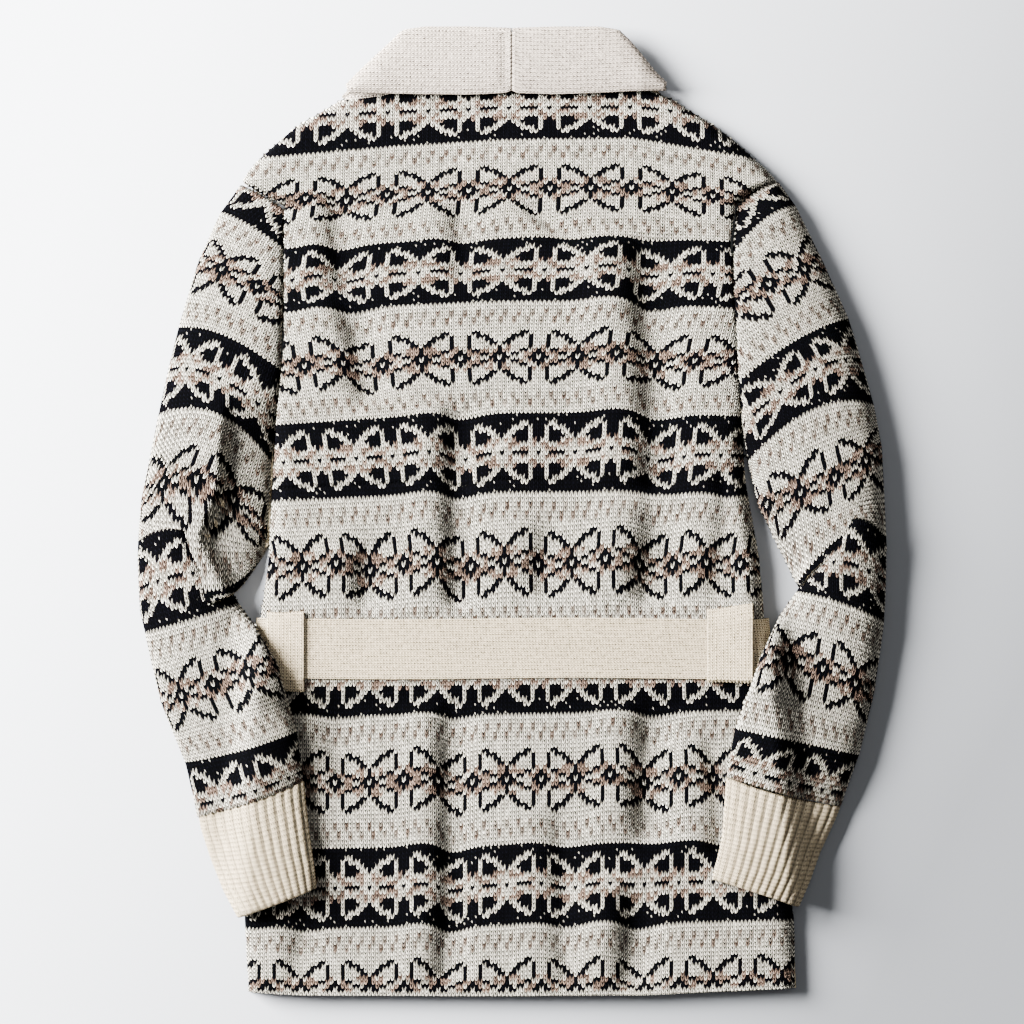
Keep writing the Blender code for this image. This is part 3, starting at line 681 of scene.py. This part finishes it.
def knit_piece(
    name, surface, columns, rows, yarn_of, look, relief=None, step=4, lean=0.6, wall=2.4, flip=False
):
    """A knitted shell. Grid lines lie at quarters of a stitch, and each row line is a zigzag, high at the
    sides of a stitch and low in its middle, so that the two legs of a stitch are slanted faces with a raised
    middle line. The open edges are turned in by the wall."""
    settings = bpy.context.scene.cardigan
    lines = np.arange(columns[0] * step, columns[1] * step + 1) / step
    u, v = np.meshgrid(lines, np.arange(rows[0], rows[1] + 1.0))
    zigzag = np.abs(u % 1.0 - 0.5) * 2.0
    points, free = surface(u, v - lean * zigzag)
    normals = surface_normals(points) * (-1.0 if flip else 1.0)
    leg = np.where(np.abs(u * 2.0 % 1.0 - 0.5) < 0.1, 1.0, -0.7) if step == 4 else np.zeros_like(u)
    height = settings.stitch_relief / MM * leg * (1.0 if relief is None else 0.45)
    if relief is not None:
        height = height + relief(u, v)
    points = points + normals * height[..., None]
    quads, kept = grid_quads(free, flip)
    stitch_column = np.floor(u[:-1, :-1] + 0.01).astype(int)
    stitch_row = v[:-1, :-1].astype(int)
    yarn = yarn_of(stitch_column, stitch_row)
    chance = np.random.default_rng(7).random((stitch_row.max() + 400, 600))
    luck = chance[stitch_row + 200, stitch_column % 600]
    # Colours in the order of CREAM to DOTTED. The tint mixes tan into the tan and the faint yarn
    palette = np.array([settings.cream, settings.black, settings.cream, settings.cream, settings.black])
    second = chance[stitch_column % 400, (stitch_row + 60) % 600]
    tint = (yarn == FAINT) * (0.6 + 0.4 * second) + (yarn == TAN) * np.where(second > 0.66, 0.5, 1.0)
    paint = palette[yarn] * (1.0 - tint[..., None]) + np.array(settings.tan) * tint[..., None]
    paint = paint * np.where(yarn == TAN, 0.9 + 1.1 * luck, 0.66 + 0.44 * luck)[..., None]
    speck = ((yarn == DOTTED) & (luck > 0.8)).astype(float)
    paint = np.concatenate([paint, np.ones_like(paint[..., :1])], axis=-1)
    paint, speck = paint[kept], speck[kept]
    flat = points.reshape(-1, 3)
    edges = open_edges(quads)
    rim, place = np.unique(edges, return_inverse=True)
    place = place.reshape(edges.shape) + len(flat)
    inner = flat[rim] - normals.reshape(-1, 3)[rim] * wall
    turned = np.stack([edges[:, 1], edges[:, 0], place[:, 0], place[:, 1]], axis=-1)
    grid = np.stack([u.ravel(), v.ravel()], -1)
    where = np.concatenate([grid, grid[rim]])
    paint = np.concatenate([paint, np.tile(np.array([*settings.cream, 1.0]) * 0.8, (len(turned), 1))])
    speck = np.concatenate([speck, np.zeros(len(turned))])
    flat = np.concatenate([flat, inner])
    return put_mesh(name, flat, np.concatenate([quads, turned]), where, paint, speck, look)


def wrong_side(name, surface, columns, rows, look, depth, flip=False, step=2):
    """The inner face of a cloth: the same surface, coarser, moved in along its normals and turned over."""
    u, v = np.meshgrid(
        np.arange(columns[0], columns[1] + 1.0, step), np.arange(rows[0], rows[1] + 1.0, step)
    )
    points, free = surface(u, v)
    points = points - surface_normals(points) * (-depth if flip else depth)
    quads = grid_quads(free, not flip)[0]
    where, paint = np.stack([u.ravel(), v.ravel()], -1), np.ones((len(quads), 4))
    return put_mesh(name, points.reshape(-1, 3), quads, where, paint, np.zeros(len(quads)), look)


def one_yarn(column, row):
    """Every stitch of the first yarn."""
    return np.zeros(column.shape, int)


def face_of(wall):
    """Relief that moves a strip's middle surface out to its face."""
    return lambda u, v: np.full_like(u, wall / 2)


def mirrored(surface):
    """The same cloth with its columns counted the other way."""
    return lambda column, row: surface(-column, row)


class Wire:
    """A shader socket that takes part in Python sums. Each sum adds a Math node."""

    def __init__(self, board, socket):
        self.board, self.socket = board, socket

    def __add__(self, other):
        return self.board.math("ADD", self, other)

    def __sub__(self, other):
        return self.board.math("SUBTRACT", self, other)

    def __rsub__(self, other):
        return self.board.math("SUBTRACT", other, self)

    def __mul__(self, other):
        return self.board.math("MULTIPLY", self, other)

    def __truediv__(self, other):
        return self.board.math("DIVIDE", self, other)

    __radd__ = __add__
    __rmul__ = __mul__


class Board:
    """A material and its nodes."""

    def __init__(self, name, rough=0.95):
        self.material = bpy.data.materials.new(name)
        self.material.use_nodes = True
        self.tree = self.material.node_tree
        self.shader = self.tree.nodes["Principled BSDF"]
        self.shader.inputs["Roughness"].default_value = rough
        self.shader.inputs["Specular IOR Level"].default_value = 0.01

    def node(self, kind, settings=None, sockets=None, output=0):
        """Adds a node: its settings first, then the values or links of its sockets."""
        made = self.tree.nodes.new(kind)
        for key, value in (settings or {}).items():
            setattr(made, key, value)
        for key, value in (sockets or {}).items():
            if isinstance(value, Wire):
                self.tree.links.new(value.socket, made.inputs[key])
            else:
                made.inputs[key].default_value = value
        return Wire(self, made.outputs[output])

    def math(self, operation, first, second=0.0):
        return self.node("ShaderNodeMath", {"operation": operation}, {0: first, 1: second})

    def clamp(self, value):
        return self.node("ShaderNodeMath", {"operation": "ADD", "use_clamp": True}, {0: value, 1: 0.0})

    def mix(self, blend, factor, first, second):
        """Mixes two colours."""
        settings = {"data_type": "RGBA", "blend_type": blend}
        return self.node("ShaderNodeMix", settings, {0: factor, 6: first, 7: second}, output=2)

    def split_uv(self):
        coordinates = self.node("ShaderNodeTexCoord", output=2)
        parts = self.node("ShaderNodeSeparateXYZ", sockets={0: coordinates})
        return parts, Wire(self, parts.socket.node.outputs[1])

    def noise(self, scale, detail=2.0):
        where = self.node("ShaderNodeTexCoord", output=3)
        return self.node("ShaderNodeTexNoise", {}, {"Vector": where, "Scale": scale, "Detail": detail})

    def finish(self, colour, height, strength, distance):
        """Joins the colour and a bump to the shader."""
        self.tree.links.new(colour.socket, self.shader.inputs["Base Color"])
        bump = self.node("ShaderNodeBump", {}, {"Strength": strength, "Distance": distance, "Height": height})
        self.tree.links.new(bump.socket, self.shader.inputs["Normal"])
        return self.material


def wave(board, value):
    """Distance from the middle of the cell that the value is in: 0 in the middle, 1 at its edges."""
    cell = board.math("FRACT", value)
    return board.math("ABSOLUTE", cell - 0.5) * 2.0


def stitch_gap(board, u, v, width=1.24, ends=0.75):
    """Depth of the gaps of a stitch, from 0 on a leg to 1. The gap in the middle is widest at the stitch's
    top and closes at its foot. The thinner ones at its sides do the opposite, so a V is left between them."""
    out = wave(board, u)
    down = board.math("FRACT", v)
    up = 1.0 - down
    middle = board.clamp((1.0 - out / (up * width + 0.04)) * 2.6)
    sides = board.clamp((1.0 - (1.0 - out) / (down * width * 0.61 + 0.05)) * 2.1) * 0.93
    ends = board.clamp((wave(board, v) - ends) * 3.0) * 0.6
    return board.math("MAXIMUM", board.math("MAXIMUM", middle, sides), ends), down


def knit_material(name, settings):
    """Yarn colour from the stitch's face, with painted shade in the gaps between legs, and fibres."""
    board = Board(name)
    u, v = board.split_uv()
    gap, down = stitch_gap(board, u, v)
    uneven = board.noise(330.0, 1.0)
    yarn = board.node("ShaderNodeAttribute", {"attribute_name": "yarn"})
    speck = board.node("ShaderNodeAttribute", {"attribute_name": "speck"}, output=2)
    fibre = board.noise(1400.0, 3.0)
    # Painted shade: the colour is darkened in the gaps between the legs of each stitch.
    shade = (1.0 - board.clamp(gap * (uneven * 0.8 + 0.7)) * 0.98) * (fibre * 0.3 + 0.88)
    grey = board.node("ShaderNodeCombineColor", {}, {0: shade, 1: shade, 2: shade})
    colour = board.mix("MULTIPLY", 1.0, yarn, grey)
    dot = speck * board.math("LESS_THAN", board.math("ABSOLUTE", board.math("FRACT", u) - 0.3), 0.13)
    dot = dot * board.math("LESS_THAN", board.math("ABSOLUTE", down - 0.5), 0.2)
    colour = board.mix("MIX", dot * 0.16, colour, (*settings.cream, 1.0))
    return board.finish(colour, fibre * 0.25 + (1.0 - gap), 0.9, 0.0009)


def plain_knit_material(name, colour, depth=0.97, width=1.2, ends=0.75, furrow=None):
    """A one-colour knit, with painted shade in the gaps between legs. A furrow is the place of the painted
    shade lines between ribs, in columns of four.
    """
    board = Board(name)
    u, v = board.split_uv()
    gap = stitch_gap(board, u, v, width, ends)[0]
    fibre = board.noise(1400.0, 3.0)
    slow = board.noise(14.0, 2.0)
    uneven = board.noise(330.0, 1.0)
    # Painted shade: the colour is darkened in the gaps between the legs of each stitch.
    shade = 1.0 - board.clamp(gap * (uneven * 0.3 + 0.8)) * depth
    shade = shade * (fibre * 0.34 + 0.78) * (slow * 0.16 + 0.9)
    if furrow is not None:
        # Painted shade along the furrows between the ribs.
        line = board.clamp(wave(board, (u + furrow) / 4.0) * 3.0 - 2.0)
        shade = shade * (1.0 - line * 0.6)
    grey = board.node("ShaderNodeCombineColor", {}, {0: shade, 1: shade, 2: shade})
    mixed = board.mix("MULTIPLY", 1.0, (*colour, 1.0), grey)
    return board.finish(mixed, fibre * 0.25 + (1.0 - gap), 0.8, 0.0007)


def sew(
    name, node, surface, columns, rows, yarn_of, look,
    flat, area=None, depth=2.4, coarse=2, also=(), **knit
):
    """The inner face has columns enough for a whole number of its steps. Also lists further pieces of the same
    cloth: name, surface, columns, rows."""
    piece = knit_piece(name, surface, columns, rows, yarn_of, look, **knit)
    wide = (columns[0], columns[1] + (columns[1] - columns[0]) % coarse)
    purl, flip = bpy.data.materials["wrong_side_knit"], knit.get("flip", False)
    parts = [wrong_side(name + "_inside", surface, wide, rows, purl, depth, flip, coarse)]
    parts.extend(knit_piece(*more, yarn_of, look, flip=flip) for more in also)
    for part in (piece, *parts):
        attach(part, "root")
    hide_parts(node)


class CardiganSettings(PropertyGroup):
    stitch_relief: FloatProperty(
        name="Stitch relief", description="Height of a leg of a stitch", default=0.0006, unit="LENGTH"
    )
    cream: FloatVectorProperty(
        name="Cream", description="Ground yarn", default=(0.98, 0.905, 0.74),
        subtype="COLOR", size=3
    )
    black: FloatVectorProperty(
        name="Black", description="Dark yarn", default=(0.0015, 0.0015, 0.003),
        subtype="COLOR", size=3
    )
    tan: FloatVectorProperty(
        name="Tan", description="Third yarn", default=(0.20, 0.135, 0.10),
        subtype="COLOR", size=3
    )
    warm: FloatVectorProperty(
        name="Warm cream", description="Yarn of the ribs and the belt", default=(0.92, 0.74, 0.48),
        subtype="COLOR", size=3
    )
    collar: FloatVectorProperty(
        name="Collar", description="Yarn of the collar", default=(0.91, 0.76, 0.62),
        subtype="COLOR", size=3
    )


class CARDIGAN_OT_back(Operator):
    """Knits the back"""
    bl_idname = "cardigan.back"
    bl_label = "Back"

    def execute(self, context):
        settings = context.scene.cardigan
        look = knit_material("patterned_knit", settings)
        plain_knit_material("wrong_side_knit", settings.warm)
        for name, rows, flat, area in (
            ("back_upper", (-8, 116), (0.49, 0.40), 0.17),
            ("back_lower", (116, 237), (0.52, 0.46), 0.23),
        ):
            sew(name, "back", back_surface, (-66, 85), rows, body_yarn, look, flat, area)
        return {"FINISHED"}


class CARDIGAN_OT_sleeves(Operator):
    """Knits both sleeves, each as an upper arm and a forearm that folds over it at the elbow"""
    bl_idname = "cardigan.sleeves"
    bl_label = "Sleeves"

    def execute(self, context):
        look = bpy.data.materials["patterned_knit"]
        sides = (
            ("left", -1, UPPER_LEFT, FORE_LEFT, CREASE_LEFT, 17.0),
            ("right", 1, UPPER_RIGHT, FORE_RIGHT, CREASE_RIGHT, 6.0),
        )
        for name, side, upper, fore, crease, depth in sides:
            def drop(x, y, crease=crease, depth=depth, side=side):
                return fold_drop(x, y, crease, depth, side)

            node = "sleeve_" + name
            arm = Tube(upper).cloth(SLEEVE_PITCH, 0, drop)
            forearm = Tube(fore).cloth(SLEEVE_PITCH, 0, no_drop)
            if side > 0:
                arm, forearm = mirrored(arm), mirrored(forearm)
            for part, cloth, rows, flat, area in (
                ("upper_arm_", arm, (-8, 86), (0.34, 0.40), 0.10),
                ("forearm_", forearm, (81, 143), (0.28, 0.27), 0.06),
            ):
                sew(part + name, node, cloth, (-48, 48), rows, sleeve_yarn, look, flat, area)
        return {"FINISHED"}


class CARDIGAN_OT_cuffs(Operator):
    """Knits the ribbed cuffs"""
    bl_idname = "cardigan.cuffs"
    bl_label = "Cuffs"

    def execute(self, context):
        look = plain_knit_material("rib_knit", context.scene.cardigan.warm, furrow=0.5)

        def ribs(u, v):
            """Raised over two columns of each four, sunk over the other two."""
            place = np.abs((u - 1.5 + 2.0) % 4.0 - 2.0)
            return 1.3 * smooth(1.6, 0.5, place) - 0.8

        for name, side, lines in (("left", -1, CUFF_LEFT), ("right", 1, CUFF_RIGHT)):
            around = RIBS_ROUND * 4
            sew(
                "ribs_" + name, "cuff_" + name, Tube(lines).ribbed(around), (0, around), (0, 24),
                one_yarn, look, (0.33, 0.10), depth=3.0, relief=ribs, flip=side < 0
            )
        return {"FINISHED"}


class CARDIGAN_OT_collar(Operator):
    """Knits the two halves of the back-neck collar"""
    bl_idname = "cardigan.collar"
    bl_label = "Collar"

    def execute(self, context):
        look = plain_knit_material("collar_knit", context.scene.cardigan.collar)
        for name, side, table in (("left", -1, COLLAR_LEFT), ("right", 1, COLLAR_RIGHT)):
            cloth = collar_cloth(side, table, STITCH_WIDE, STITCH_TALL)
            rows = (0, math.ceil((table[-1, 0] - table[0, 0]) / STITCH_TALL))
            under = ("shawl_under", tab_cloth(3.0, STITCH_TALL), (0, 3), (0, 16))
            also = [under] if side < 0 else []
            sew(
                "shawl_" + name, "collar_" + name, cloth, (0, 40), rows, one_yarn, look, (0.151, 0.125),
                depth=WALL / 2, coarse=1, also=also, relief=face_of(WALL), flip=side < 0
            )
        return {"FINISHED"}


class CARDIGAN_OT_belt(Operator):
    """Knits the belt and its two loops"""
    bl_idname = "cardigan.belt"
    bl_label = "Belt and loops"

    def execute(self, context):
        look = plain_knit_material("belt_knit", context.scene.cardigan.warm)
        strip = {"depth": BELT_WALL / 2, "coarse": 1, "relief": face_of(BELT_WALL)}
        cloth, length = belt_cloth(3.24, BELT_ROW)
        sew(
            "sash", "belt", cloth, (0, 17), (0, math.ceil(length / BELT_ROW)), one_yarn, look,
            (length * MM, BELT_WIDTH * MM), flip=True, **strip
        )
        for name, table, bow in (("left", LOOP_LEFT, 0.0), ("right", LOOP_RIGHT, 5.0)):
            cloth = loop_cloth(table, LOOP_COLUMN, BELT_ROW, bow)
            wide, tall = table[1] - table[0], table[2] - table[3]
            counts = (0, math.ceil(wide / LOOP_COLUMN)), (0, math.ceil(tall / BELT_ROW))
            flat = (1.2 * wide * MM, 1.1 * tall * MM)
            sew("loop_" + name, "belt_loop_" + name, cloth, *counts, one_yarn, look, flat, **strip)
        return {"FINISHED"}


class CARDIGAN_OT_fronts(Operator):
    """Knits the fronts and their bands, which lie face down"""
    bl_idname = "cardigan.fronts"
    bl_label = "Fronts and bands"

    def execute(self, context):
        look, plain_look = bpy.data.materials["patterned_knit"], bpy.data.materials["collar_knit"]
        for name, side in (("left", -1), ("right", 1)):
            sew(
                "panel_" + name, "front_" + name, front_cloth(side), (0, 66), (6, 237), body_yarn, look,
                (0.22, 0.825), 0.137, step=2, flip=side > 0
            )
            sew(
                "edge_" + name, "band_" + name, band_cloth(side, STITCH_WIDE, STITCH_TALL), (0, 20), (0, 268),
                one_yarn, plain_look, (0.07, 0.90), 0.062, step=2, flip=side > 0
            )
        return {"FINISHED"}


class CARDIGAN_OT_stage(Operator):
    """Makes the floor, the lights and the camera"""
    bl_idname = "cardigan.stage"
    bl_label = "Stage"

    def execute(self, context):
        scene = context.scene
        mesh = bpy.data.meshes.new("floor")
        corners = [(x * FLOOR_HALF, y * FLOOR_HALF, 0.0) for x, y in ((-1, -1), (1, -1), (1, 1), (-1, 1))]
        mesh.from_pydata(corners, [], [(0, 1, 2, 3)])
        floor = bpy.data.objects.new("floor", mesh)
        scene.collection.objects.link(floor)
        board = Board("floor_paper", 0.8)
        where = board.node("ShaderNodeTexCoord", output=3)
        parts = board.node("ShaderNodeSeparateXYZ", sockets={0: where})
        # Painted light falloff and painted shadow: the floor paper's colour is darker towards the right and
        # the lower edge.
        along = board.clamp(parts * 0.92 - Wire(board, parts.socket.node.outputs[1]) * 0.44 + 0.5)
        painted_shade = board.mix("MIX", along, (0.305, 0.312, 0.325, 1.0), (0.074, 0.076, 0.080, 1.0))
        board.finish(painted_shade, along, 0.0, 0.0001)
        mesh.materials.append(board.material)
        world = bpy.data.worlds.new("studio")
        scene.world = world
        world.use_nodes = True
        world.node_tree.nodes["Background"].inputs[0].default_value = (0.93, 0.96, 1.0, 1.0)
        world.node_tree.nodes["Background"].inputs[1].default_value = 0.55
        for name, place, power, width in (
            ("key", (-3.0, 1.2, 1.85), 5400.0, 2.1),
            ("fill", (0.6, 0.8, 3.2), 55.0, 2.5),
        ):
            light = bpy.data.lights.new(name, "AREA")
            light.energy = power
            light.size = width
            lamp = bpy.data.objects.new(name, light)
            lamp.location = place
            lamp.rotation_euler = (-Vector(place)).to_track_quat("-Z", "Y").to_euler()
            scene.collection.objects.link(lamp)
        data = bpy.data.cameras.new("camera")
        eye = bpy.data.objects.new("camera", data)
        eye.location = (0.0, 0.0, CAMERA_HEIGHT)
        data.lens = data.sensor_width * CAMERA_HEIGHT / FRAME_WIDTH
        data.clip_end = 50.0
        scene.collection.objects.link(eye)
        scene.camera = eye
        return {"FINISHED"}


class CARDIGAN_PT_panel(Panel):
    """Lists the cardigan's pieces"""
    bl_idname = "CARDIGAN_PT_panel"
    bl_label = "Cardigan"
    bl_space_type = "VIEW_3D"
    bl_region_type = "UI"
    bl_category = "Cardigan"

    def draw(self, context):
        for name in ("stitch_relief", "cream", "black", "tan", "warm", "collar"):
            self.layout.prop(context.scene.cardigan, name)
        for step in STEPS:
            self.layout.operator(step.bl_idname)


STEPS = (
    CARDIGAN_OT_stage, CARDIGAN_OT_back, CARDIGAN_OT_sleeves, CARDIGAN_OT_cuffs, CARDIGAN_OT_collar,
    CARDIGAN_OT_belt, CARDIGAN_OT_fronts,
)
CLASSES = (CardiganSettings, *STEPS, CARDIGAN_PT_panel)


def register():
    for item in CLASSES:
        bpy.utils.register_class(item)
    bpy.types.Scene.cardigan = PointerProperty(type=CardiganSettings)


def unregister():
    del bpy.types.Scene.cardigan
    for item in reversed(CLASSES):
        bpy.utils.unregister_class(item)


def main():
    """Runs the steps."""
    register()
    for step in STEPS:
        family, name = step.bl_idname.split(".")
        getattr(getattr(bpy.ops, family), name)()


if __name__ == "__main__":
    main()
